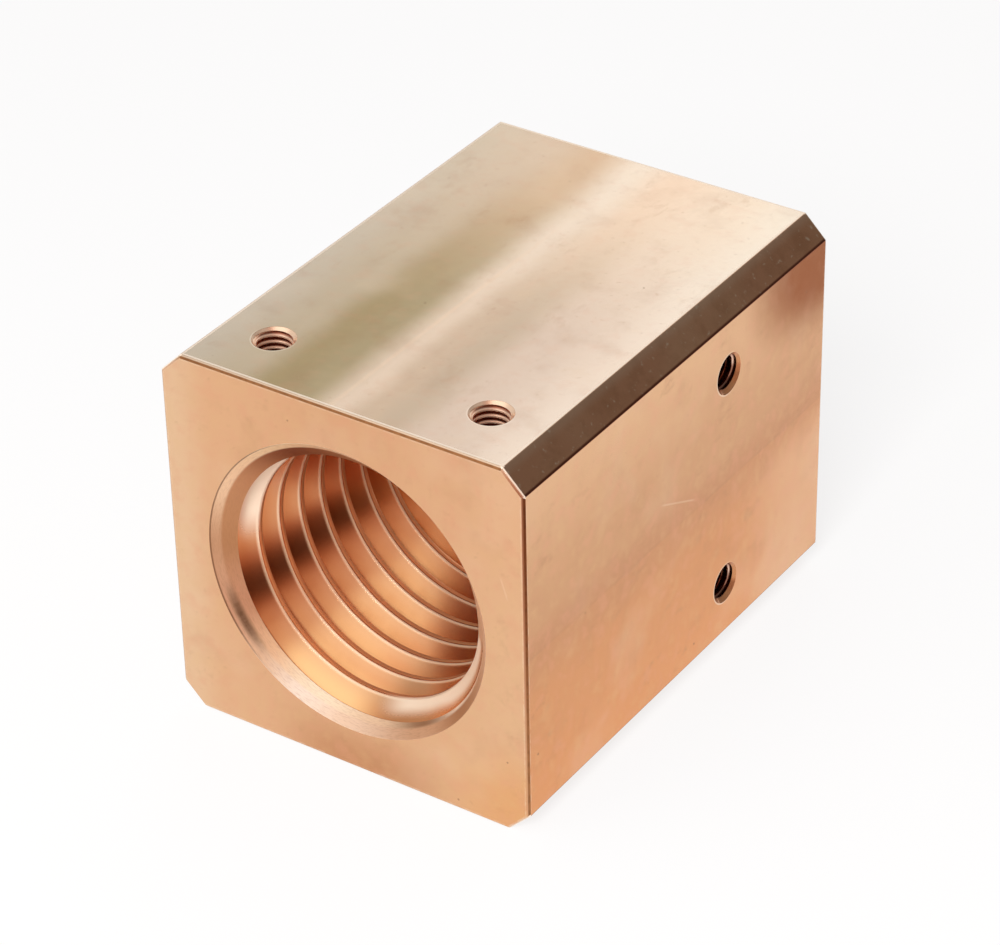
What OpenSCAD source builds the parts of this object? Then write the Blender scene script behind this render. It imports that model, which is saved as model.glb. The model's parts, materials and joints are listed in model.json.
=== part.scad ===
// Lead screw nut: one bronze block, bored and threaded from end to end for a
// coarse single-start right-hand screw, with two tapped holes in its top and
// two in its side. Millimetres, +Z up. The origin is the middle of the bottom
// face, the bore runs along Y, and the front end looks along -Y.

/* [Block] */
// Width of the block, across the bore
block_w = 60; // [56:1:80]
// Height of the block
block_h = 60; // [56:1:80]
// Length of the block, along the bore
block_l = 80; // [60:5:120]
// Leg of the chamfer along the four long edges
long_chamfer = 3.5; // [1:0.5:5]
// Leg of the small edge break round both end faces
end_break = 0.4; // [0.2:0.1:1]

/* [Lead thread] */
// Bore across the thread crests
crest_d = 39; // [36:0.5:40]
// Distance from one turn to the next
pitch = 5; // [4.8:0.1:6]
// How deep the thread groove goes below the crests
thread_depth = 2.55; // [1.5:0.05:2.7]
// Width of the flat left on each crest
crest_land = 0.8; // [0.3:0.1:1]
// Angle of the flank that looks to the front, from square to the bore
front_flank = 45; // [10:1:47]
// Angle of the flank that looks to the rear, from square to the bore
rear_flank = 28; // [3:1:30]
// Widest diameter of the chamfer at each mouth
mouth_d = 46.8; // [45.2:0.2:50]
// Distance of the first crest behind the front face, on the side with tapped holes
thread_start = 3.95; // [0:0.05:4.95]

/* [Tapped holes] */
// Core diameter of the tapped holes
core_d = 5; // [3:0.1:7]
// Diameter of the countersink at their mouths
sink_d = 6.4; // [5:0.1:9]
// Depth of the full core, measured from the face
hole_depth = 12; // [6:0.5:12]
// Distance between the two holes of a pair
hole_spacing = 36; // [30:1:44]
// Distance of the top pair from the front face
top_hole_y = 10.5; // [8:0.5:30]
// Distance of the side pair from the front face
side_hole_y = 52.5; // [35:0.5:55]

/* [Hidden] */
$fn = 96;

// Clearance that lets one shape cut cleanly through another
over = 1;
bore_z = block_h / 2;
crest_r = crest_d / 2;
root_r = crest_r + thread_depth;

// Steps of the thread groove in one turn, and how far it runs along the bore,
// counted from thread_start, so that both its ends lie clear of the metal
steps_per_turn = 48;
groove_from = -1.5 * pitch;
groove_to = block_l;

// The groove's open side stands this far inside the crests, where its turns
// still stay clear of each other
open_side = crest_land / 4;

// The drill leaves a cone of this angle at the bottom of each hole
drill_point = 118;

// Section of the block in one direction: a rectangle with its corners broken
module broken_rectangle(across) {
    a = across / 2;
    l = block_l / 2;
    b = end_break;
    polygon([
        [-a + b, -l], [a - b, -l], [a, -l + b], [a, l - b],
        [a - b, l], [-a + b, l], [-a, l - b], [-a, -l + b]
    ]);
}

// The sides at 0 and 90 degrees are the faces, and those between are the
// chamfers, so four slabs that share one place leave the whole outline
module block() {
    across_chamfers = (block_w + block_h - 2 * long_chamfer) / sqrt(2);
    across = [block_h, across_chamfers, block_w, across_chamfers];
    reach = block_w + block_h;
    translate([0, 0, bore_z])
        intersection_for (i = [0 : 3])
            rotate([0, 45 * i, 0])
                rotate([0, 90, 0])
                    linear_extrude(height = reach, center = true)
                        broken_rectangle(across[i]);
}

// Places a shape made along +Z so that it starts at the front face and runs
// back along the bore
module along_bore() {
    translate([0, -block_l / 2, bore_z])
        rotate([-90, 0, 0])
            children();
}

// Corners of the groove's section as [distance along the bore, radius]. It
// starts where a crest's land ends, and its open side stands inside the bore,
// so that the crests keep a true cylinder.
function groove_section() =
    let (
        near_slope = tan(rear_flank),
        far_slope = tan(front_flank)
    )
    [
        [crest_land - open_side * near_slope, crest_r - open_side],
        [pitch + open_side * far_slope, crest_r - open_side],
        [pitch - thread_depth * far_slope, root_r],
        [crest_land + thread_depth * near_slope, root_r]
    ];

module thread_groove() {
    section = groove_section();
    corners = len(section);
    steps = round((groove_to - groove_from) / pitch * steps_per_turn);
    step_angle = 360 / steps_per_turn;
    start_angle = 360 * groove_from / pitch;

    points = [
        for (i = [0 : steps])
            let (angle = start_angle + i * step_angle)
            for (corner = section)
                [
                    corner[1] * cos(angle),
                    corner[1] * sin(angle),
                    thread_start + corner[0] + pitch * angle / 360
                ]
    ];
    walls = [
        for (i = [0 : steps - 1])
            for (j = [0 : corners - 1])
                let (
                    a = i * corners + j,
                    b = i * corners + (j + 1) % corners
                )
                each [[a, a + corners, b], [b, a + corners, b + corners]]
    ];
    first_cap = [for (j = [0 : corners - 1]) j];
    last_cap = [for (j = [corners - 1 : -1 : 0]) steps * corners + j];
    polyhedron(points = points, faces = concat([first_cap], walls, [last_cap]));
}

// 45 degree chamfer that opens the bore out to the face at one end
module mouth() {
    mouth_r = mouth_d / 2;
    depth = mouth_r - crest_r;
    translate([0, 0, -over])
        cylinder(h = depth + over, r1 = mouth_r + over, r2 = crest_r);
}

// Threaded bore with a mouth at both ends
module lead_thread() {
    along_bore() {
        translate([0, 0, -over])
            cylinder(h = block_l + 2 * over, r = crest_r);
        mouth();
        translate([0, 0, block_l])
            mirror([0, 0, 1])
                mouth();
        thread_groove();
    }
}

// Tapped hole going down from z = 0, with its countersink and drill point
module tapped_hole() {
    core_r = core_d / 2;
    sink_depth = (sink_d - core_d) / 2;
    point_depth = core_r / tan(drill_point / 2);
    rotate([180, 0, 0]) {
        translate([0, 0, -over])
            cylinder(h = hole_depth + over, r = core_r);
        translate([0, 0, hole_depth])
            cylinder(h = point_depth, r1 = core_r, r2 = 0);
        translate([0, 0, -over])
            cylinder(h = sink_depth + over, r1 = sink_d / 2 + over, r2 = core_r);
    }
}

module tapped_holes() {
    for (side = [-1, 1]) {
        translate([side * hole_spacing / 2, top_hole_y - block_l / 2, block_h])
            tapped_hole();
        translate([block_w / 2, side_hole_y - block_l / 2, bore_z + side * hole_spacing / 2])
            rotate([0, 90, 0])
                tapped_hole();
    }
}

module nut_body() {
    color("peru")
        difference() {
            block();
            lead_thread();
            tapped_holes();
        }
}

nut_body();
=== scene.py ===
import json
from math import cos, pi, radians, tan
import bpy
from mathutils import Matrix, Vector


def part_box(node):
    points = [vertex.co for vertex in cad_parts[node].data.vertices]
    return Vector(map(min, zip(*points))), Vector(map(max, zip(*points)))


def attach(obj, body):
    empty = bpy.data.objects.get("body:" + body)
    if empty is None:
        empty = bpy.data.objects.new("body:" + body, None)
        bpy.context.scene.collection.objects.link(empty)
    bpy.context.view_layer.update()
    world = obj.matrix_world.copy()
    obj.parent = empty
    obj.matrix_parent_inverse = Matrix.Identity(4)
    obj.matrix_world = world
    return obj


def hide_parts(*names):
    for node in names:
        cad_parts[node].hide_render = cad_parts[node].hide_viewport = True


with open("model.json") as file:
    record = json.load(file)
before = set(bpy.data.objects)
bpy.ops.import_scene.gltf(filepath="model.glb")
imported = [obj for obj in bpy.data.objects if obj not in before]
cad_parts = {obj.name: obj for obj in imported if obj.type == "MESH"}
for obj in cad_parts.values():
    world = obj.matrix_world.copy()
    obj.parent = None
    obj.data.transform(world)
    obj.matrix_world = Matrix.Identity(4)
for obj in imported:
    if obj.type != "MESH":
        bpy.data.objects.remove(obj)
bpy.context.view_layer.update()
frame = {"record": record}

from types import SimpleNamespace

import bmesh
import bpy
from mathutils import Matrix, Vector

mm = 0.001
over = 1 * mm  # how far a cutter reaches past the surface that it cuts
lowCorner, highCorner = (Vector(corner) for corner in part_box("nut_body"))
mounts = {mount["name"]: mount for mount in frame["record"]["mounts"]}
boreZ = mounts["lead_thread"]["pos_m"][2]
crestRadius = mounts["lead_thread"]["dims"]["r_mm"] * mm
frontY = lowCorner.y
rearY = highCorner.y
nutLength = rearY - frontY


def objectFrom(bm, name):
    mesh = bpy.data.meshes.new(name)
    bm.to_mesh(mesh)
    bm.free()
    obj = bpy.data.objects.new(name, mesh)
    bpy.context.scene.collection.objects.link(obj)
    return obj


def chainOf(bm, points):
    # an open run of edges through the points
    verts = [bm.verts.new(point) for point in points]
    edges = [bm.edges.new(pair) for pair in zip(verts, verts[1:])]
    return verts + edges


def closeMesh(bm):
    bmesh.ops.remove_doubles(bm, verts=bm.verts[:], dist=0.002 * mm)
    bmesh.ops.recalc_face_normals(bm, faces=bm.faces[:])


def lathe(name, outline, steps):
    # turns an outline of (radius, depth) about -Z; both its ends lie on the axis
    bm = bmesh.new()
    geom = chainOf(bm, [(radius, 0, -depth) for radius, depth in outline])
    bmesh.ops.spin(bm, geom=geom, cent=(0, 0, 0), axis=(0, 0, 1), dvec=(0, 0, 0),
                   angle=2 * pi, steps=steps, use_merge=True, use_duplicate=False)
    closeMesh(bm)
    return objectFrom(bm, name)


def threadCutter(name, section, rounds, pitch, fromDepth, toDepth, startDepth, stepsPerTurn):
    # section: corners of one pitch as (distance along the axis, radius), from the middle of
    # a crest to the middle of the next; rounds: (corner number, reach, segments) soften it
    bm = bmesh.new()
    inner = 0.5 * min(radius for along, radius in section)
    ring = section + [(section[-1][0], inner), (section[0][0], inner)]
    turnsBefore = int((startDepth - fromDepth) / pitch) + 3
    base = startDepth - turnsBefore * pitch
    turns = int((toDepth - base) / pitch) + 3
    corners = [bm.verts.new((radius, 0, -(base + along))) for along, radius in ring]
    bm.faces.new(corners)
    for number, reach, segments in rounds:
        bmesh.ops.bevel(bm, geom=[corners[number]], offset=reach, offset_type="OFFSET",
                        segments=segments, profile=0.5, affect="VERTICES", material=-1)
    bmesh.ops.delete(bm, geom=bm.faces[:], context="FACES_ONLY")
    spare = [v for v in bm.verts if v.co.x < 1.5 * inner]
    bmesh.ops.delete(bm, geom=spare, context="VERTS")
    # a right-hand thread that goes down turns clockwise as seen from above
    bmesh.ops.spin(bm, geom=bm.verts[:] + bm.edges[:], cent=(0, 0, 0), axis=(0, 0, -1),
                   dvec=(0, 0, -pitch / stepsPerTurn), angle=2 * pi, steps=stepsPerTurn,
                   use_merge=False, use_duplicate=False)
    firstTurn = bm.verts[:] + bm.edges[:] + bm.faces[:]
    for turn in range(1, turns):
        copied = bmesh.ops.duplicate(bm, geom=firstTurn)["geom"]
        moved = [part for part in copied if isinstance(part, bmesh.types.BMVert)]
        bmesh.ops.translate(bm, verts=moved, vec=(0, 0, -pitch * turn))
    bmesh.ops.remove_doubles(bm, verts=bm.verts[:], dist=0.004 * mm)
    for depth, direction in ((fromDepth, 1), (toDepth, -1)):
        bmesh.ops.bisect_plane(bm, geom=bm.verts[:] + bm.edges[:] + bm.faces[:], dist=1e-7,
                               plane_co=(0, 0, -depth), plane_no=(0, 0, direction),
                               clear_outer=True, clear_inner=False)
        openEdges = [edge for edge in bm.edges if edge.is_boundary
                     and all(abs(v.co.z + depth) < 1e-6 for v in edge.verts)]
        bmesh.ops.edgeloop_fill(bm, edges=openEdges)
    bmesh.ops.recalc_face_normals(bm, faces=bm.faces[:])
    return objectFrom(bm, name)


def place(obj, matrix):
    obj.data.transform(matrix)
    obj.data.update()
    return obj


def cut(obj, cutter):
    modifier = obj.modifiers.new("cut", "BOOLEAN")
    modifier.operation = "DIFFERENCE"
    modifier.solver = "MANIFOLD"
    modifier.object = cutter
    bpy.context.view_layer.update()
    depsgraph = bpy.context.evaluated_depsgraph_get()
    result = bpy.data.meshes.new_from_object(obj.evaluated_get(depsgraph))
    obj.modifiers.clear()
    obj.data = result
    bpy.data.objects.remove(cutter)


nutSizes = {
    "longChamfer": 3.5 * mm,
    "endBreak": 0.4 * mm,
    "edgeRound": 0.07 * mm,
    "pitch": 5 * mm,
    "threadDepth": 2.55 * mm,
    "crestLand": 0.8 * mm,
    "frontFlank": 45,
    "rearFlank": 28,
    "threadStart": 3.95 * mm,
    # a corner of the thread's section, the reach of its rounding and its segments
    "rounds": [(1, 0.06 * mm, 3), (2, 0.14 * mm, 4), (3, 0.14 * mm, 4), (4, 0.3 * mm, 6)],
    "mouthRadius": 23.4 * mm,
    "stepsPerTurn": 144,
}

tapSizes = {
    "core": 2.5 * mm,
    "major": 3.0 * mm,
    "pitch": 1.0 * mm,
    "sink": 3.2 * mm,
    "coreDepth": 12 * mm,
    "drillPoint": 118,
    "slack": 0.02 * mm,  # keeps the drilled core just inside the thread's crests
    "threadStart": 0.3 * mm,
    "threadDepth": 10 * mm,
    "rounds": [(1, 0.04 * mm, 1), (4, 0.04 * mm, 1)],
    "stepsPerTurn": 60,
}


def blockPiece(sizes):
    bm = bmesh.new()
    bmesh.ops.create_cube(bm, size=1)
    bmesh.ops.scale(bm, verts=bm.verts[:], vec=highCorner - lowCorner)
    bmesh.ops.translate(bm, verts=bm.verts[:], vec=(highCorner + lowCorner) / 2)
    longEdges = [edge for edge in bm.edges
                 if abs(edge.verts[0].co.y - edge.verts[1].co.y) > sizes["longChamfer"]]
    bmesh.ops.bevel(bm, geom=longEdges, offset=sizes["longChamfer"], offset_type="OFFSET",
                    segments=1, profile=0.5, affect="EDGES", material=-1)
    endEdges = [edge for edge in bm.edges
                if abs(edge.verts[0].co.y - edge.verts[1].co.y) < sizes["endBreak"]]
    bmesh.ops.bevel(bm, geom=endEdges, offset=sizes["endBreak"], offset_type="OFFSET",
                    segments=1, profile=0.5, affect="EDGES", material=-1)
    bmesh.ops.bevel(bm, geom=bm.edges[:], offset=sizes["edgeRound"], offset_type="OFFSET",
                    segments=2, profile=0.5, affect="EDGES", material=-1)
    closeMesh(bm)
    return objectFrom(bm, "bronze_nut")


def alongBore(depthStart):
    # depth is counted along -Z of a cutter: turn that to +Y, from the front face on,
    # with the cutter's +X staying the nut's +X
    return Matrix.Translation((0, depthStart, boreZ)) @ Matrix.Rotation(pi / 2, 4, "X")


def leadThreadCutter(sizes):
    land = sizes["crestLand"]
    root = crestRadius + sizes["threadDepth"]
    rearRun = sizes["threadDepth"] * tan(radians(sizes["rearFlank"]))
    frontRun = sizes["threadDepth"] * tan(radians(sizes["frontFlank"]))
    pitch = sizes["pitch"]
    section = [
        (land / 2, crestRadius), (land, crestRadius), (land + rearRun, root),
        (pitch - frontRun, root), (pitch, crestRadius), (pitch + land / 2, crestRadius),
    ]
    cutter = threadCutter("lead_thread_cutter", section, sizes["rounds"], pitch, -over,
                          nutLength + over, sizes["threadStart"], sizes["stepsPerTurn"])
    return place(cutter, alongBore(frontY))


def mouthCutter(sizes, rear=False):
    # a cone at 45 degrees, with a slightly rounded rim
    mouth = sizes["mouthRadius"]
    inner = crestRadius - over
    outline = [
        (0, -over), (mouth + 0.6 * mm, -over), (mouth + 0.6 * mm, -0.03 * mm),
        (mouth + 0.04 * mm, -0.012 * mm), (mouth - 0.05 * mm, 0.04 * mm),
        (inner, mouth - inner), (0, mouth - inner),
    ]
    cutter = lathe("mouth_cutter", outline, sizes["stepsPerTurn"])
    place(cutter, alongBore(0))
    if rear:
        place(cutter, Matrix.Rotation(pi, 4, "Z"))
        return place(cutter, Matrix.Translation((0, rearY, 0)))
    return place(cutter, Matrix.Translation((0, frontY, 0)))


def tappedHoleCutters(sizes, matrix):
    core = sizes["core"]
    drilledRadius = core - sizes["slack"]
    sinkDepth = sizes["sink"] - core
    pointDepth = core / tan(radians(sizes["drillPoint"] / 2))
    outline = [
        (0, -over), (sizes["sink"] + over, -over), (drilledRadius, sinkDepth),
        (drilledRadius, sizes["coreDepth"]), (0, sizes["coreDepth"] + pointDepth),
    ]
    drilled = place(lathe("hole_cutter", outline, sizes["stepsPerTurn"]), matrix)
    pitch = sizes["pitch"]
    section = [
        (pitch / 8, core), (pitch / 4, core), (pitch * 9 / 16, sizes["major"]),
        (pitch * 11 / 16, sizes["major"]), (pitch, core), (pitch * 9 / 8, core),
    ]
    tapped = threadCutter("tap_cutter", section, sizes["rounds"], pitch, -over,
                          sizes["threadDepth"], sizes["threadStart"], sizes["stepsPerTurn"])
    return [drilled, place(tapped, matrix)]


def holeMatrices():
    top = mounts["top_tapped_holes"]
    side = mounts["side_tapped_holes"]
    topSpan = top["dims"]["spacing_x_mm"] * mm / 2
    sideSpan = side["dims"]["spacing_y_mm"] * mm / 2
    matrices = []
    for sign in (-1, 1):
        matrices.append(Matrix.Translation((top["pos_m"][0] + sign * topSpan, top["pos_m"][1],
                                            highCorner.z)))
        matrices.append(Matrix.Translation((highCorner.x, side["pos_m"][1],
                                            side["pos_m"][2] + sign * sideSpan))
                        @ Matrix.Rotation(pi / 2, 4, "Y"))
    return matrices


def nutPiece():
    nut = blockPiece(nutSizes)
    cut(nut, leadThreadCutter(nutSizes))
    print("lead thread cut:", len(nut.data.polygons), "faces")
    cut(nut, mouthCutter(nutSizes))
    cut(nut, mouthCutter(nutSizes, rear=True))
    print("mouths cut:", len(nut.data.polygons), "faces")
    for matrix in holeMatrices():
        for cutter in tappedHoleCutters(tapSizes, matrix):
            cut(nut, cutter)
    print("tapped holes cut:", len(nut.data.polygons), "faces")
    bm = bmesh.new()
    bm.from_mesh(nut.data)
    bmesh.ops.remove_doubles(bm, verts=bm.verts[:], dist=1e-6)
    bmesh.ops.dissolve_degenerate(bm, dist=1e-7, edges=bm.edges[:])
    openEdges = sum(1 for edge in bm.edges if not edge.is_manifold)
    print("open edges:", openEdges)
    bm.to_mesh(nut.data)
    bm.free()
    nut.data.polygons.foreach_set("use_smooth", [True] * len(nut.data.polygons))
    nut.data.set_sharp_from_angle(angle=radians(12))
    nut.data.update()
    return nut


nut = nutPiece()
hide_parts("nut_body")
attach(nut, "root")


# small helpers for node trees: a value is a number, a colour or another node's output
def feed(tree, socket, value):
    if isinstance(value, bpy.types.NodeSocket):
        tree.links.new(value, socket)
    else:
        socket.default_value = value


def calc(tree, operation, *values):
    node = tree.nodes.new("ShaderNodeMath")
    node.operation = operation
    for socket, value in zip(node.inputs, values):
        feed(tree, socket, value)
    return node.outputs[0]


def vectorCalc(tree, operation, first, second=None):
    node = tree.nodes.new("ShaderNodeVectorMath")
    node.operation = operation
    feed(tree, node.inputs[0], first)
    if operation == "SCALE":
        feed(tree, node.inputs["Scale"], second)
    elif second is not None:
        feed(tree, node.inputs[1], second)
    return node.outputs["Value" if operation in ("LENGTH", "DOT_PRODUCT") else "Vector"]


def step(tree, value, start, end):
    # soft step: 0 at start, 1 at end
    node = tree.nodes.new("ShaderNodeMapRange")
    node.interpolation_type = "SMOOTHSTEP"
    feed(tree, node.inputs["Value"], value)
    rising = start < end
    node.inputs["From Min"].default_value = min(start, end)
    node.inputs["From Max"].default_value = max(start, end)
    node.inputs["To Min"].default_value = 0 if rising else 1
    node.inputs["To Max"].default_value = 1 if rising else 0
    return node.outputs["Result"]


def band(tree, value, centre, halfWidth, soft):
    # 1 within halfWidth of the centre, fading to 0 over the soft width
    away = calc(tree, "ABSOLUTE", calc(tree, "SUBTRACT", value, centre))
    return step(tree, away, halfWidth + soft, halfWidth)


def allOf(tree, *masks):
    result = masks[0]
    for mask in masks[1:]:
        result = calc(tree, "MULTIPLY", result, mask)
    return result


def tint(tree, factor, first, second, kind="MIX"):
    node = tree.nodes.new("ShaderNodeMix")
    node.data_type = "RGBA"
    node.blend_type = kind
    feed(tree, node.inputs[0], factor)
    for socket, value in ((node.inputs[6], first), (node.inputs[7], second)):
        feed(tree, socket, (*value, 1) if isinstance(value, tuple) else value)
    return node.outputs[2]


def mixValue(tree, factor, first, second):
    node = tree.nodes.new("ShaderNodeMix")
    node.data_type = "FLOAT"
    feed(tree, node.inputs[0], factor)
    feed(tree, node.inputs[2], first)
    feed(tree, node.inputs[3], second)
    return node.outputs[0]


def noise(tree, vector, scale, detail=2.0, roughness=0.5):
    node = tree.nodes.new("ShaderNodeTexNoise")
    feed(tree, node.inputs["Vector"], vector)
    node.inputs["Scale"].default_value = scale
    feed(tree, node.inputs["Detail"], detail)
    node.inputs["Roughness"].default_value = roughness
    return node.outputs[0]


def stretched(tree, vector, factors):
    return vectorCalc(tree, "MULTIPLY", vector, factors)


def ramp(tree, value, low, high, stops):
    # colours at chosen places between low and high, blended softly
    node = tree.nodes.new("ShaderNodeValToRGB")
    feed(tree, node.inputs[0], calc(tree, "DIVIDE", calc(tree, "SUBTRACT", value, low), high - low))
    colours = node.color_ramp
    colours.interpolation = "EASE"
    for element, (place, colour) in zip(colours.elements, (stops[0], stops[-1])):
        element.position = (place - low) / (high - low)
        element.color = (*colour, 1)
    for place, colour in stops[1:-1]:
        colours.elements.new((place - low) / (high - low)).color = (*colour, 1)
    return node.outputs[0]


def scratch(tree, spot, start, end, halfWidth):
    # a hairline between two places on the nut, in millimetres
    start, end = Vector(start), Vector(end)
    length = (end - start).length
    run = (end - start) / length
    offset = vectorCalc(tree, "SUBTRACT", spot, tuple(start))
    along = vectorCalc(tree, "DOT_PRODUCT", offset, tuple(run))
    nearest = vectorCalc(tree, "SCALE", tuple(run), along)
    away = vectorCalc(tree, "LENGTH", vectorCalc(tree, "SUBTRACT", offset, nearest))
    return allOf(tree, step(tree, away, halfWidth * 1.6, halfWidth * 0.4),
                 band(tree, along, length / 2, length * 0.35, length * 0.15))


def nutPlaces(tree):
    # places on the nut in millimetres: across, along from the front face and up from the bore's
    # axis, with the broad patches and the fine grain that both materials share
    spot = vectorCalc(tree, "SCALE", tree.nodes.new("ShaderNodeTexCoord").outputs["Object"], 1 / mm)
    spot = vectorCalc(tree, "SUBTRACT", spot, (0, frontY / mm, boreZ / mm))
    split = tree.nodes.new("ShaderNodeSeparateXYZ")
    feed(tree, split.inputs[0], spot)
    across, depth, up = split.outputs
    fromEnd = calc(tree, "MINIMUM", depth, calc(tree, "SUBTRACT", nutLength / mm, depth))
    patches = noise(tree, vectorCalc(tree, "ADD", spot, (40, 13, 7)), 0.14, 4, 0.55)
    grain = noise(tree, spot, 5, 3, 0.6)
    return SimpleNamespace(spot=spot, across=across, depth=depth, up=up, fromEnd=fromEnd,
                           patches=patches, grain=grain)


def holeRadius(tree, at, beside, mount, spacing):
    # distance from the axis of the nearer one of a pair of tapped holes
    facts = mounts[mount]
    aside = calc(tree, "SUBTRACT", calc(tree, "ABSOLUTE", beside), facts["dims"][spacing] / 2)
    along = calc(tree, "SUBTRACT", at.depth, (facts["pos_m"][1] - frontY) / mm)
    offset = tree.nodes.new("ShaderNodeCombineXYZ")
    feed(tree, offset.inputs[0], aside)
    feed(tree, offset.inputs[1], along)
    return vectorCalc(tree, "LENGTH", offset.outputs[0])


def holeRadii(tree, at):
    return (holeRadius(tree, at, at.across, "top_tapped_holes", "spacing_x_mm"),
            holeRadius(tree, at, at.up, "side_tapped_holes", "spacing_y_mm"))


def pitMask(tree, at):
    # small scattered pits, which keep to some parts of the surface
    cells = tree.nodes.new("ShaderNodeTexVoronoi")
    feed(tree, cells.inputs["Vector"], at.spot)
    cells.inputs["Scale"].default_value = 0.20
    rare = noise(tree, at.spot, 0.13, 1)
    return allOf(tree, step(tree, cells.outputs["Distance"], 0.050, 0.018),
                 step(tree, rare, 0.47, 0.56))


def newMaterial(name):
    material = bpy.data.materials.new(name)
    material.use_nodes = True
    return material, material.node_tree, material.node_tree.nodes["Principled BSDF"]


def addFinish(tree, shader, at, colour, metal, dull, relief):
    # colour, metal, roughness that wavers with the patches and the grain, and a shallow relief
    feed(tree, shader.inputs["Base Color"], colour)
    feed(tree, shader.inputs["Metallic"], metal)
    dull = calc(tree, "MULTIPLY_ADD", calc(tree, "SUBTRACT", at.patches, 0.5), 0.10, dull)
    dull = calc(tree, "MULTIPLY_ADD", calc(tree, "SUBTRACT", at.grain, 0.5), 0.08, dull)
    feed(tree, shader.inputs["Roughness"], dull)
    bump = tree.nodes.new("ShaderNodeBump")
    bump.inputs["Strength"].default_value = 0.35
    bump.inputs["Distance"].default_value = 0.006 * mm
    feed(tree, bump.inputs["Height"], calc(tree, "MULTIPLY_ADD", at.grain, 0.35, relief))
    feed(tree, shader.inputs["Normal"], bump.outputs["Normal"])


# the outside: end faces, sides, long chamfers and broken edges
outsideLook = {
    "plain": (0.770, 0.425, 0.230),
    "blush": (0.790, 0.370, 0.220),
    "gold": (0.790, 0.500, 0.240),
    "pale": (0.800, 0.490, 0.290),
    "stain": (0.450, 0.200, 0.090),
    "brown": (0.200, 0.080, 0.030),
    # ends, in millimetres across from the bore's axis
    "ends": [(-29, (0.83, 0.53, 0.32)), (-21, (0.79, 0.44, 0.24)), (0, (0.75, 0.41, 0.22)),
             (18, (0.78, 0.45, 0.25)), (29, (0.81, 0.48, 0.27))],
    "endStain": (0.620, 0.290, 0.140),
    "endCorner": (0.810, 0.395, 0.165),
    # right face, in millimetres up from the bore's axis
    "right": [(-27, (0.76, 0.310, 0.110)), (-10, (0.70, 0.300, 0.115)), (-0.3, (0.62, 0.28, 0.12)),
              (0.3, (0.60, 0.275, 0.125)), (7, (0.65, 0.335, 0.16)), (27, (0.77, 0.44, 0.235))],
    "rightPale": (0.780, 0.410, 0.210),
    "rightCorner": (0.320, 0.078, 0.002),
    # painted reflection on the top, paler with lighter and darker streaks along the bore, in
    # millimetres across from the bore's axis, at the front and at the rear
    "topFront": [(-28, (0.66, 0.56, 0.44)), (-17, (0.60, 0.48, 0.33)), (-11, (0.44, 0.33, 0.17)),
                 (-6, (0.46, 0.36, 0.20)), (-0.5, (0.86, 0.67, 0.51)), (3.5, (0.70, 0.52, 0.37)),
                 (8, (0.64, 0.49, 0.35)), (14, (0.79, 0.61, 0.48)), (28, (0.96, 0.79, 0.645))],
    "topRear": [(-28, (0.72, 0.59, 0.44)), (-17, (0.76, 0.58, 0.42)), (-8, (0.78, 0.54, 0.35)),
                (-0.5, (0.99, 0.82, 0.65)), (6, (1.00, 0.75, 0.55)), (16, (1.00, 0.80, 0.61)),
                (28, (1.00, 0.87, 0.71))],
    "chamfer": (0.700, 0.345, 0.190),
    "lowEdge": (0.150, 0.025, 0.008),
    "edgeBrown": (0.440, 0.190, 0.075),
    "edgeLight": (0.950, 0.710, 0.510),
    "edgeBright": (1.000, 0.850, 0.690),
    "roughness": 0.24,
    "wornRoughness": 0.45,
    "wornMetal": 0.50,
    # hairlines on the right face and on its upper chamfer, from and to, and their half width
    "hairlines": [((30, 34, 6), (30, 44, 1.5), 0.14), ((26, 0, 12.5), (27.2, 0, 9), 0.12)],
}


def outsideMarks(tree, at):
    # masks for the flat surfaces and the edges, and noises that only the outside uses
    half = highCorner.x / mm
    at.half = half
    at.sideways = calc(tree, "SUBTRACT", half, calc(tree, "ABSOLUTE", at.across))
    at.upways = calc(tree, "SUBTRACT", half, calc(tree, "ABSOLUTE", at.up))
    at.fromChamfer = calc(tree, "SUBTRACT", calc(tree, "ADD", at.sideways, at.upways),
                          nutSizes["longChamfer"] / mm)
    fromSide = calc(tree, "MINIMUM", calc(tree, "MINIMUM", at.sideways, at.upways), at.fromChamfer)
    at.edge = calc(tree, "ADD", at.fromEnd, fromSide)
    at.onTop = step(tree, at.up, half - 0.15, half - 0.05)
    at.onRight = step(tree, at.across, half - 0.15, half - 0.05)
    at.onEnd = step(tree, at.fromEnd, 0.10, 0.03)
    at.onChamfer = step(tree, at.fromChamfer, 0.12, 0.04)
    at.onBreak = step(tree, at.edge, 0.50, 0.42)
    at.clouds = noise(tree, at.spot, 0.06, 3, 0.5)
    at.blotches = noise(tree, at.spot, 0.30, 4, 0.58)
    at.freckles = noise(tree, at.spot, 1.1, 3, 0.6)
    # how far a place is from the upper rear corner of the right face, in shares of the brown patch
    reach = vectorCalc(tree, "SUBTRACT", at.spot, (half, nutLength / mm, 27))
    reach = vectorCalc(tree, "LENGTH", stretched(tree, reach, (0, 1 / 26, 1 / 17)))
    at.rearCorner = step(tree, reach, 1.00, 0.42)


def endColour(tree, at, look):
    ends = ramp(tree, at.across, -30, 30, look["ends"])
    endStain = allOf(tree, band(tree, at.across, 2, 4, 14), step(tree, at.up, -20, -29))
    ends = tint(tree, endStain, ends, look["endStain"])
    endCorner = allOf(tree, step(tree, at.across, 12, 27), step(tree, at.up, -12, -26))
    return tint(tree, calc(tree, "MULTIPLY", endCorner, 0.85), ends, look["endCorner"])


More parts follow.
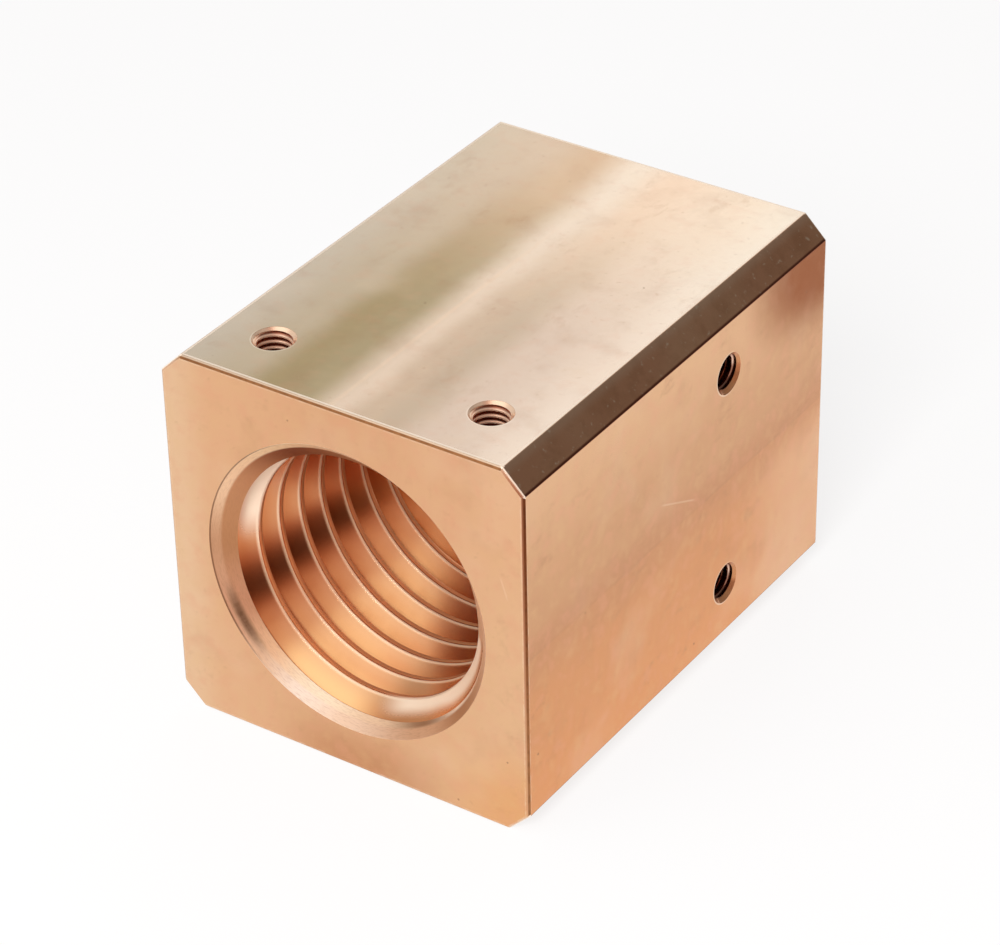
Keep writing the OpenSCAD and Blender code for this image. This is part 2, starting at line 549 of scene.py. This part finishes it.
def rightColour(tree, at, look):
    # the rear corner is browned
    wander = calc(tree, "MULTIPLY_ADD", calc(tree, "SUBTRACT", at.clouds, 0.5), 5, at.up)
    right = ramp(tree, wander, -30, 30, look["right"])
    middleLine = band(tree, at.up, -0.1, 0.05, 0.25)
    right = tint(tree, calc(tree, "MULTIPLY", middleLine, 0.16), right, look["stain"])
    paler = allOf(tree, step(tree, at.depth, 52, 74), step(tree, at.up, 1, -7))
    right = tint(tree, paler, right, look["rightPale"])
    return tint(tree, at.rearCorner, right, look["rightCorner"])


def topColour(tree, at, look):
    # painted reflection: the top is paler, with lighter and darker streaks along the bore that
    # change from front to rear
    wander = calc(tree, "MULTIPLY_ADD", calc(tree, "SUBTRACT", at.clouds, 0.5), 4, at.across)
    topReflection = tint(tree, step(tree, at.depth, 24, 78), ramp(tree, wander, -30, 30, look["topFront"]),
                ramp(tree, wander, -30, 30, look["topRear"]))
    # a painted highlight line along the bore near the middle of the top, fading towards the rear
    topGlint = allOf(tree, band(tree, at.across, -1.4, 0.10, 0.45), step(tree, at.depth, 70, 30))
    return tint(tree, calc(tree, "MULTIPLY", topGlint, 0.30), topReflection, look["edgeLight"])


def mottled(tree, at, look, colour):
    # stains, lighter clouds, smudges, a pink and a yellow cast, and freckles
    smudges = noise(tree, stretched(tree, at.spot, (1, 0.55, 1)), 0.32, 5, 0.65)
    smudges = allOf(tree, step(tree, smudges, 0.53, 0.72), step(tree, at.clouds, 0.42, 0.58))
    covered = calc(tree, "MAXIMUM", calc(tree, "MULTIPLY", at.onTop, 0.65),
                   calc(tree, "MULTIPLY", allOf(tree, at.onRight, at.rearCorner), 0.85))
    bare = calc(tree, "SUBTRACT", 1, covered)
    layers = (
        (step(tree, at.patches, 0.50, 0.80), 0.16, "stain"),
        (step(tree, at.clouds, 0.50, 0.30), 0.12, "edgeLight"),
        (smudges, mixValue(tree, at.onRight, 0.16, 0.28), "stain"),
        (allOf(tree, step(tree, at.blotches, 0.48, 0.70), bare), 0.26, "blush"),
        (allOf(tree, step(tree, at.blotches, 0.52, 0.30), bare), 0.16, "gold"),
        (step(tree, at.freckles, 0.60, 0.74), 0.16, "stain"),
    )
    for mask, share, name in layers:
        colour = tint(tree, calc(tree, "MULTIPLY", mask, share), colour, look[name])
    return colour


def chamferColour(tree, at, look):
    # darker at its lower edge and lighter at its upper one, with light specks
    colour = look["chamfer"]
    layers = (
        (step(tree, at.clouds, 0.4, 0.65), 0.35, "pale"),
        (step(tree, at.patches, 0.42, 0.66), 0.26, "stain"),
        (step(tree, at.blotches, 0.48, 0.66), 0.26, "stain"),
        (step(tree, at.sideways, 2.2, 3.4), 0.30, "edgeLight"),
        (step(tree, at.freckles, 0.62, 0.70), 0.6, "edgeLight"),
        (step(tree, at.sideways, 0.34, 0.12), 0.92, "lowEdge"),
    )
    for mask, share, name in layers:
        colour = tint(tree, calc(tree, "MULTIPLY", mask, share), colour, look[name])
    return colour


def edgeColours(tree, at, look, colour):
    # end breaks are brown on one side and carry a painted highlight on the other and on the long
    # chamfers' ends, with a painted highlight line next to them
    # painted highlight lines next to the breaks: on the top, along the long chamfers, and broken up
    # on the sides and ends
    highlightTop = allOf(tree, at.onTop, band(tree, at.edge, 0.62, 0.10, 0.14))
    highlightSide = allOf(tree, band(tree, at.edge, 0.56, 0.06, 0.12),
                     calc(tree, "SUBTRACT", 1, at.onTop))
    highlightChamfer = allOf(tree, band(tree, at.fromChamfer, 0.20, 0.10, 0.12), at.onTop,
                        mixValue(tree, step(tree, at.depth, 60, 6), 0.60, 1.0))
    worn = calc(tree, "MAXIMUM", highlightTop, highlightChamfer)
    colour = tint(tree, calc(tree, "MULTIPLY", worn, 0.9), colour, look["edgeBright"])
    broken = noise(tree, at.spot, 0.9, 3, 0.7)
    highlightSide = calc(tree, "MULTIPLY", highlightSide, step(tree, broken, 0.35, 0.65))
    colour = tint(tree, calc(tree, "MULTIPLY", highlightSide, 0.34), colour, look["edgeLight"])
    # a painted highlight along the upper side of the top breaks, and the rest of each break brown
    atTop = step(tree, at.up, at.half - 0.60, at.half - 0.45)
    colour = tint(tree, allOf(tree, at.onBreak, atTop), colour, look["edgeLight"])
    inward = mixValue(tree, atTop, at.fromEnd, at.upways)
    darkPart = allOf(tree, at.onBreak, step(tree, inward, 0.10, 0.22))
    breakBrown = tint(tree, calc(tree, "MULTIPLY", step(tree, broken, 0.40, 0.66), 0.4),
                   look["edgeBrown"], look["brown"])
    colour = tint(tree, darkPart, colour, breakBrown)
    # painted highlight on the breaks at the long chamfers' ends
    cornerBreak = allOf(tree, at.onBreak, step(tree, at.fromChamfer, 0.36, 0.28))
    at.wornEdges = calc(tree, "MAXIMUM", worn, cornerBreak)
    return tint(tree, cornerBreak, colour, look["edgeBright"])


def rimColours(tree, at, look, colour):
    # a painted highlight: a pale line round part of each tapped hole
    topAway, sideAway = holeRadii(tree, at)
    rimRadius = tapSizes["sink"] / mm + 0.08
    topRim = allOf(tree, at.onTop, band(tree, topAway, rimRadius, 0.05, 0.12),
                   step(tree, at.depth, 12, 9))
    sideRim = allOf(tree, at.onRight, band(tree, sideAway, rimRadius, 0.05, 0.12),
                    step(tree, at.depth, 54.5, 51))
    rims = calc(tree, "MULTIPLY", calc(tree, "MAXIMUM", topRim, sideRim), 0.40)
    return tint(tree, rims, colour, look["edgeBright"])


def outsideMaterial(look):
    material, tree, shader = newMaterial("machined_bronze")
    at = nutPlaces(tree)
    outsideMarks(tree, at)
    colour = tint(tree, at.onEnd, look["plain"], endColour(tree, at, look))
    colour = tint(tree, at.onRight, colour, rightColour(tree, at, look))
    colour = tint(tree, at.onTop, colour, topColour(tree, at, look))
    colour = mottled(tree, at, look, colour)
    colour = tint(tree, at.onChamfer, colour, chamferColour(tree, at, look))
    colour = edgeColours(tree, at, look, colour)
    colour = rimColours(tree, at, look, colour)
    pits = pitMask(tree, at)
    colour = tint(tree, calc(tree, "MULTIPLY", pits, 0.7), colour, look["brown"])
    first, second = (scratch(tree, at.spot, *line) for line in look["hairlines"])
    hairlines = calc(tree, "MULTIPLY", calc(tree, "MAXIMUM", first, second), 0.22)
    colour = tint(tree, hairlines, colour, look["edgeLight"])

    # edges with painted highlights are also duller and scatter more light
    metal = mixValue(tree, at.wornEdges, 1.0, look["wornMetal"])
    dull = mixValue(tree, calc(tree, "MAXIMUM", at.onBreak, at.wornEdges), look["roughness"],
                    look["wornRoughness"])
    # milling lay, along the bore on the sides and across on the ends
    lay = tint(tree, at.onEnd, (6, 0.12, 6), (0.3, 1, 5))
    relief = noise(tree, stretched(tree, at.spot, lay), 1, 3, 0.6)
    relief = calc(tree, "SUBTRACT", relief, calc(tree, "MULTIPLY", pits, 2))
    addFinish(tree, shader, at, colour, metal, dull, relief)
    return material


# the inside: lead thread, mouths and tapped holes
insideLook = {
    "plain": (0.770, 0.425, 0.230),
    "stain": (0.450, 0.200, 0.090),
    "brown": (0.200, 0.080, 0.030),
    "bore": (0.870, 0.440, 0.190),
    "boreDeep": (0.800, 0.360, 0.145),
    "boreDark": (0.220, 0.060, 0.028),
    "boreSide": (0.640, 0.210, 0.075),
    "boreRight": (0.830, 0.340, 0.140),
    "boreYellow": (1.000, 0.580, 0.270),
    "crestSide": (0.850, 0.470, 0.250),
    "crestPale": (0.900, 0.620, 0.440),
    "crestEdge": (0.940, 0.650, 0.430),
    "land": (0.880, 0.380, 0.170),
    "firstFlank": (1.000, 0.810, 0.620),
    "holeMouth": (1.000, 0.700, 0.490),
    "topHole": (0.950, 0.640, 0.460),
    "topRoot": (0.620, 0.260, 0.160),
    "sideMouth": (0.580, 0.255, 0.110),
    "sideHole": (0.860, 0.560, 0.420),
    "holeRoot": (0.280, 0.090, 0.045),
    # mouth cone with painted light and shade that change round it, in degrees round the bore's
    # axis, in its outer and in its inner half
    "mouthOuter": [(0, (0.86, 0.55, 0.35)), (80, (0.95, 0.66, 0.42)), (118, (1.00, 0.78, 0.50)),
                   (150, (0.98, 0.67, 0.43)), (180, (0.70, 0.39, 0.22)), (205, (0.92, 0.55, 0.34)),
                   (225, (0.97, 0.68, 0.45)), (246, (1.00, 0.82, 0.67)), (268, (0.94, 0.66, 0.47)),
                   (300, (0.80, 0.45, 0.26)), (325, (0.48, 0.22, 0.10)), (360, (0.86, 0.55, 0.35))],
    "mouthInner": [(0, (0.86, 0.55, 0.35)), (80, (0.50, 0.22, 0.09)), (115, (0.23, 0.05, 0.01)),
                   (150, (0.61, 0.29, 0.14)), (180, (0.58, 0.28, 0.13)), (205, (0.84, 0.46, 0.27)),
                   (225, (1.00, 0.66, 0.40)), (250, (1.00, 0.82, 0.60)), (280, (0.94, 0.64, 0.42)),
                   (302, (0.40, 0.20, 0.10)), (325, (0.96, 0.74, 0.56)), (360, (0.86, 0.55, 0.35))],
    "darkReflection": (0.130, 0.055, 0.020),
    "holeRoughness": 0.24,
    "boreRoughness": 0.22,
    "wornRoughness": 0.45,
    "mouthRoughness": 0.48,
    "crestMetal": 0.62,
    "flankMetal": (0.30, 0.62),  # of the first flank with its painted highlight, on the left and on the right
    "landMetal": 0.62,
    "holeMetal": 0.70,
    "mouthMetal": 0.86,
}


def insideMarks(tree, at):
    # masks for the bore and its mouths, and the way along the thread
    mouth = nutSizes["mouthRadius"] / mm
    pitch = nutSizes["pitch"] / mm
    start = nutSizes["threadStart"] / mm
    at.radius = vectorCalc(tree, "LENGTH", stretched(tree, at.spot, (1, 0, 1)))
    mouthGap = calc(tree, "SUBTRACT", calc(tree, "ADD", at.radius, at.fromEnd), mouth)
    at.inBore = allOf(tree, step(tree, at.radius, 22.7, 22.5), step(tree, mouthGap, 0.05, 0.15))
    at.onMouth = allOf(tree, band(tree, mouthGap, 0, 0.06, 0.08),
                       step(tree, at.radius, mouth + 0.1, mouth + 0.02))

    # along counts from the front corner of a crest, and behindFirst from the first flank
    quarter = calc(tree, "DIVIDE", calc(tree, "ARCTAN2", at.up, at.across), 2 * pi)
    turns = calc(tree, "DIVIDE", calc(tree, "SUBTRACT", at.depth, start), pitch)
    turns = calc(tree, "ADD", calc(tree, "ADD", turns, quarter), 8)
    at.along = calc(tree, "MULTIPLY", calc(tree, "FRACT", turns), pitch)
    opposite = calc(tree, "ARCTAN2", calc(tree, "MULTIPLY", at.up, -1),
                    calc(tree, "MULTIPLY", at.across, -1))
    opposite = calc(tree, "DIVIDE", opposite, 2 * pi)
    at.behindFirst = calc(tree, "MULTIPLY_ADD", opposite, pitch,
                          calc(tree, "SUBTRACT", at.depth, start + pitch / 2))
    at.turnPart = calc(tree, "FRACT", calc(tree, "ADD", quarter, 1))
    at.angle = calc(tree, "MULTIPLY", at.turnPart, 360)


def boreColour(tree, at, look):
    # copper-red flanks with painted shade and a painted sheen by place round the bore, painted
    # light that makes them paler towards the crests, and painted highlights on the crest edges
    angle, along = at.angle, at.along
    # painted shade on the left, deeper in on the left and on the lower right, and a painted sheen
    # on the lower left flanks near the mouth
    deep = allOf(tree, step(tree, at.depth, 20, 38), band(tree, angle, 188, 14, 22))
    sheen = allOf(tree, band(tree, angle, 250, 12, 20), step(tree, at.depth, 9.5, 6.5))
    bore = tint(tree, step(tree, at.patches, 0.35, 0.7), look["bore"], look["boreDeep"])
    layers = (
        (band(tree, angle, 178, 12, 24), 0.9, "boreSide"),
        (deep, 0.36, "boreDark"),
        (band(tree, angle, 294, 24, 18), 0.85, "boreRight"),
        (sheen, 1, "boreYellow"),
    )
    for mask, share, name in layers:
        bore = tint(tree, calc(tree, "MULTIPLY", mask, share), bore, look[name])
    # painted light: the flanks turn paler towards the crests
    crestTone = tint(tree, step(tree, angle, 176, 154), look["crestSide"], look["crestPale"])
    crestShare = mixValue(tree, band(tree, angle, 182, 10, 18), 0.70, 0.35)
    nearCrest = calc(tree, "MULTIPLY", step(tree, along, 3.0, 4.8), crestShare)
    bore = tint(tree, nearCrest, bore, crestTone)
    at.onLand = allOf(tree, step(tree, at.radius, 19.6, 19.53), step(tree, along, 1.2, 0.9),
                      step(tree, along, 0.08, 0.16))
    # painted highlight: the crest edges are painted pale
    at.crestEdge = allOf(tree, step(tree, along, 4.50, 4.86), step(tree, at.radius, 20.1, 19.75))
    # painted highlight: the first flank is painted pale, apart from its lower left
    held = calc(tree, "MULTIPLY", band(tree, angle, 300, 8, 12), 0.3)
    fromFirst = calc(tree, "SUBTRACT", at.behindFirst, held)
    at.firstFlank = allOf(tree, step(tree, fromFirst, -2.6, -1.0),
                          step(tree, at.behindFirst, 0.4, 0.1),
                          calc(tree, "SUBTRACT", 1, band(tree, angle, 230, 43, 18)))
    bore = tint(tree, at.onLand, bore, look["land"])
    bore = tint(tree, at.crestEdge, bore, look["crestEdge"])
    return tint(tree, at.firstFlank, bore, look["firstFlank"])


def holeMask(tree, away, height):
    # inside a pair of tapped holes, below their face
    wall = tapSizes["sink"] / mm + 0.1
    face = highCorner.x / mm
    return allOf(tree, step(tree, away, wall + 0.05, wall - 0.05),
                 step(tree, height, face - 0.005, face - 0.03),
                 step(tree, height, 15.0, 15.5))


def holeColours(tree, at, look, colour):
    # bright mouths and crests as painted highlights and dark roots as painted shade; in the side
    # holes only upper crests are bright
    topAway, sideAway = holeRadii(tree, at)
    inTop = holeMask(tree, topAway, at.up)
    inSide = holeMask(tree, sideAway, at.across)
    topSink = step(tree, at.up, 29.36, 29.48)
    topCrest = step(tree, topAway, 2.78, 2.60)
    topTone = tint(tree, topCrest, look["topRoot"], look["topHole"])
    colour = tint(tree, inTop, colour, tint(tree, topSink, topTone, look["holeMouth"]))
    sideSink = step(tree, at.across, 29.36, 29.48)
    centre = mounts["side_tapped_holes"]["dims"]["spacing_y_mm"] / 2
    above = calc(tree, "SUBTRACT", at.up,
                 calc(tree, "MULTIPLY", calc(tree, "SIGN", at.up), centre))
    sideCrest = allOf(tree, step(tree, sideAway, 2.84, 2.64), step(tree, at.across, 27.9, 28.6),
                      mixValue(tree, step(tree, above, -0.6, 0.6), 0.25, 1.0))
    sideTone = tint(tree, sideCrest, look["holeRoot"], look["sideHole"])
    at.brightHole = calc(tree, "MAXIMUM",
                         allOf(tree, inTop, calc(tree, "MAXIMUM", topSink, topCrest)),
                         allOf(tree, inSide, sideSink))
    return tint(tree, inSide, colour, tint(tree, sideSink, sideTone, look["sideMouth"]))


def mouthColour(tree, at, look):
    # a darker band inside and a lighter one outside, both with painted light and shade round the
    # cone, tool marks, a painted dark reflection streak and a brown rim
    mouth = tint(tree, step(tree, at.radius, 22.0, 22.4),
                 ramp(tree, at.angle, 0, 360, look["mouthInner"]),
                 ramp(tree, at.angle, 0, 360, look["mouthOuter"]))
    ringMarks = noise(tree, stretched(tree, at.spot, (0.5, 6, 0.5)), 2.2, 2, 0.5)
    mouth = tint(tree, calc(tree, "MULTIPLY", step(tree, ringMarks, 0.45, 0.7), 0.25), mouth,
                 look["stain"])
    around = tree.nodes.new("ShaderNodeCombineXYZ")
    feed(tree, around.inputs[0], calc(tree, "MULTIPLY", at.turnPart, 140))
    feed(tree, around.inputs[1], calc(tree, "MULTIPLY", at.radius, 0.9))
    darkReflection = noise(tree, around.outputs[0], 1, 3, 0.6)
    # a painted dark reflection streak across the cone, broken up by noise
    streak = allOf(tree, band(tree, at.angle, 212, 3, 15), band(tree, at.radius, 22.40, 0.10, 0.62),
                   mixValue(tree, step(tree, darkReflection, 0.30, 0.70), 0.66, 0.82))
    mouth = tint(tree, streak, mouth, look["darkReflection"])
    rim = allOf(tree, band(tree, at.radius, 23.32, 0.05, 0.08), band(tree, at.angle, 172, 36, 28))
    return tint(tree, calc(tree, "MULTIPLY", rim, 0.75), mouth, look["brown"])


def insideMaterial(look):
    material, tree, shader = newMaterial("bored_bronze")
    at = nutPlaces(tree)
    insideMarks(tree, at)
    colour = tint(tree, at.inBore, look["plain"], boreColour(tree, at, look))
    colour = holeColours(tree, at, look, colour)
    colour = tint(tree, at.onMouth, colour, mouthColour(tree, at, look))
    pits = allOf(tree, pitMask(tree, at), calc(tree, "SUBTRACT", 1, at.inBore))
    colour = tint(tree, calc(tree, "MULTIPLY", pits, 0.7), colour, look["brown"])

    # lands, crest edges, the first flank and the mouths scatter more light
    litFirstFlank = allOf(tree, at.inBore, at.firstFlank)
    metal = mixValue(tree, allOf(tree, at.inBore, at.onLand), 1.0, look["landMetal"])
    metal = mixValue(tree, allOf(tree, at.inBore, at.crestEdge), metal, look["crestMetal"])
    metal = mixValue(tree, at.brightHole, metal, look["holeMetal"])
    metal = mixValue(tree, litFirstFlank, metal, mixValue(tree, step(tree, at.angle, 220, 280),
                                                      *look["flankMetal"]))
    metal = mixValue(tree, at.onMouth, metal, look["mouthMetal"])
    dull = mixValue(tree, at.inBore, look["holeRoughness"], look["boreRoughness"])
    dull = mixValue(tree, at.onMouth, dull, look["mouthRoughness"])
    dull = mixValue(tree, litFirstFlank, dull, look["wornRoughness"])
    # tool rings in the bore and its mouths, and the drill's marks in the holes
    turned = calc(tree, "MAXIMUM", at.inBore, at.onMouth)
    lay = tint(tree, turned, (6, 0.12, 6), (0.25, 9, 0.25))
    relief = noise(tree, stretched(tree, at.spot, lay), 1, mixValue(tree, turned, 3, 2), 0.6)
    addFinish(tree, shader, at, colour, metal, dull, relief)
    return material


def insideFace(centre, intoHoles):
    # true in the bore, its mouths and the tapped holes, and false on the outside
    skin = 0.002 * mm
    fromEnd = min(centre.y - frontY, rearY - centre.y)
    radius = Vector((centre.x, centre.z - boreZ)).length
    if fromEnd > skin and radius < nutSizes["mouthRadius"] + 0.05 * mm:
        return True
    bottom = tapSizes["coreDepth"] + tapSizes["core"]
    for intoHole in intoHoles:
        spot = intoHole @ centre
        if spot.xy.length < tapSizes["sink"] + 0.1 * mm and skin < -spot.z < bottom:
            return True
    return False


nut.data.materials.clear()
nut.data.materials.append(outsideMaterial(outsideLook))
nut.data.materials.append(insideMaterial(insideLook))
intoHoles = [matrix.inverted() for matrix in holeMatrices()]
inside = [int(insideFace(face.center, intoHoles)) for face in nut.data.polygons]
nut.data.polygons.foreach_set("material_index", inside)
nut.data.update()
print("bronze ready:", sum(inside), "faces inside")



studioLook = {
    # a direction, the angles where the light is full and gone, and its amount
    "room": 0.20,
    "frontWall": ((-0.25, -1, 0.02), 10, 45, 0.55),
    "frontBox": ((-0.08, -0.68, 0.73), 10, 47, 0.95),
    "sideGlow": ((0.67, -0.67, 0.34), 6, 20, 0.46),
    "leftWall": ((-0.95, -0.28, 0.20), 10, 50, 0.35),
    "backBox": ((-0.25, 0.80, 0.50), 8, 38, 0.82),
    "darkSide": ((0.75, -0.60, -0.30), 15, 40, 0.42),
    "darkGap": ((0.74, -0.66, -0.03), 7, 19, 0.88),
    "dimColour": (1.0, 0.27, 0.12),
    "dimFrom": 0.070,  # the floor close to the nut stays light
    "dimFull": 0.105,
    "floorShare": 0.80,
    "lampPlace": (0.25, -0.68, 0.56),
    "lampSize": 0.35,
    "lampPower": 7.0,
}


def lobe(tree, direction, facts):
    # 0 to its amount round one direction, full within the first angle, gone at the second
    aim, inner, outer, amount = facts
    closeness = vectorCalc(tree, "DOT_PRODUCT", direction, tuple(Vector(aim).normalized()))
    return calc(tree, "MULTIPLY", step(tree, closeness, cos(radians(outer)), cos(radians(inner))),
                amount)


def dimmed(tree, level, direction, look):
    # the dark stretch to the right of the front, where dim light is also warmer
    for name in ("darkSide", "darkGap"):
        level = calc(tree, "MULTIPLY", level,
                     calc(tree, "SUBTRACT", 1, lobe(tree, direction, look[name])))
    split = tree.nodes.new("ShaderNodeSeparateXYZ")
    feed(tree, split.inputs[0], direction)
    warm = allOf(tree, step(tree, level, 1.20, 0.10), step(tree, split.outputs[1], 0.1, -0.2),
                 step(tree, split.outputs[0], -0.6, -0.1))
    return level, tint(tree, warm, (1, 1, 1), look["dimColour"])


def floorPiece(look):
    bm = bmesh.new()
    bmesh.ops.create_grid(bm, x_segments=1, y_segments=1, size=3)
    floor = objectFrom(bm, "floor")
    material = bpy.data.materials.new("pale_floor")
    material.use_nodes = True
    tree = material.node_tree
    paper = tree.nodes["Principled BSDF"]
    paper.inputs["Base Color"].default_value = (0.95, 0.95, 0.95, 1)
    paper.inputs["Roughness"].default_value = 0.9
    paper.inputs["Specular IOR Level"].default_value = 0
    rays = tree.nodes.new("ShaderNodeLightPath")
    place = tree.nodes.new("ShaderNodeTexCoord").outputs["Object"]
    seen = vectorCalc(tree, "NORMALIZE", vectorCalc(tree, "SUBTRACT", place, (0, 0, boreZ)))
    level, tone = dimmed(tree, 1.0, seen, look)
    far = step(tree, vectorCalc(tree, "LENGTH", place), look["dimFrom"], look["dimFull"])
    level = mixValue(tree, far, 1.0, level)
    tone = tint(tree, far, (1, 1, 1), tone)
    reflected = tree.nodes.new("ShaderNodeEmission")
    feed(tree, reflected.inputs["Color"], tone)
    feed(tree, reflected.inputs["Strength"], level)
    white = tree.nodes.new("ShaderNodeEmission")
    white.inputs["Strength"].default_value = 1
    seenMix = tree.nodes.new("ShaderNodeMixShader")
    feed(tree, seenMix.inputs[0], calc(tree, "MULTIPLY", rays.outputs["Is Camera Ray"],
                                       look["floorShare"]))
    feed(tree, seenMix.inputs[1], paper.outputs[0])
    feed(tree, seenMix.inputs[2], white.outputs[0])
    mix = tree.nodes.new("ShaderNodeMixShader")
    feed(tree, mix.inputs[0], rays.outputs["Is Glossy Ray"])
    feed(tree, mix.inputs[1], seenMix.outputs[0])
    feed(tree, mix.inputs[2], reflected.outputs[0])
    feed(tree, tree.nodes["Material Output"].inputs["Surface"], mix.outputs[0])
    floor.data.materials.append(material)


def studioWorld(look):
    world = bpy.data.worlds.new("studio")
    world.use_nodes = True
    tree = world.node_tree
    aim = tree.nodes.new("ShaderNodeTexCoord").outputs["Generated"]
    level = look["room"]
    for name in ("frontWall", "frontBox", "sideGlow", "leftWall", "backBox"):
        level = calc(tree, "ADD", level, lobe(tree, aim, look[name]))
    level, tone = dimmed(tree, level, aim, look)
    room = tree.nodes["Background"]
    feed(tree, room.inputs["Color"], tone)
    feed(tree, room.inputs["Strength"], level)
    white = tree.nodes.new("ShaderNodeBackground")
    white.inputs["Strength"].default_value = 1
    rays = tree.nodes.new("ShaderNodeLightPath")
    mix = tree.nodes.new("ShaderNodeMixShader")
    feed(tree, mix.inputs[0], rays.outputs["Is Camera Ray"])
    feed(tree, mix.inputs[1], room.outputs[0])
    feed(tree, mix.inputs[2], white.outputs[0])
    feed(tree, tree.nodes["World Output"].inputs["Surface"], mix.outputs[0])
    bpy.context.scene.world = world


def areaLight(name, place, target, size, power):
    light = bpy.data.lights.new(name, "AREA")
    light.shape = "SQUARE"
    light.size = size
    light.energy = power
    lamp = bpy.data.objects.new(name, light)
    lamp.location = place
    lamp.rotation_euler = (Vector(target) - Vector(place)).to_track_quat("-Z", "Y").to_euler()
    lamp.visible_glossy = False
    bpy.context.scene.collection.objects.link(lamp)
    return lamp


cameraFacts = {
    "place": (0.25893, -0.38097, 0.33086),
    "right": (0.83236, 0.55396, -0.01737),
    "down": (0.29249, -0.46567, -0.83522),
    "forward": (-0.47077, 0.69012, -0.54964),
    "lens": 136.46,
}


def studioCamera(facts):
    data = bpy.data.cameras.new("camera")
    data.sensor_width = 36
    data.lens = facts["lens"]
    camera = bpy.data.objects.new("camera", data)
    right, down, forward = (Vector(facts[key]) for key in ("right", "down", "forward"))
    turn = Matrix((right, -down, -forward)).transposed().to_4x4()
    camera.matrix_world = Matrix.Translation(facts["place"]) @ turn
    bpy.context.scene.collection.objects.link(camera)
    bpy.context.scene.camera = camera


floorPiece(studioLook)
studioWorld(studioLook)
middle = (lowCorner + highCorner) / 2
areaLight("softbox", middle + Vector(studioLook["lampPlace"]), middle, studioLook["lampSize"],
          studioLook["lampPower"])
studioCamera(cameraFacts)
bpy.context.scene.view_settings.view_transform = "Standard"
print("studio ready")
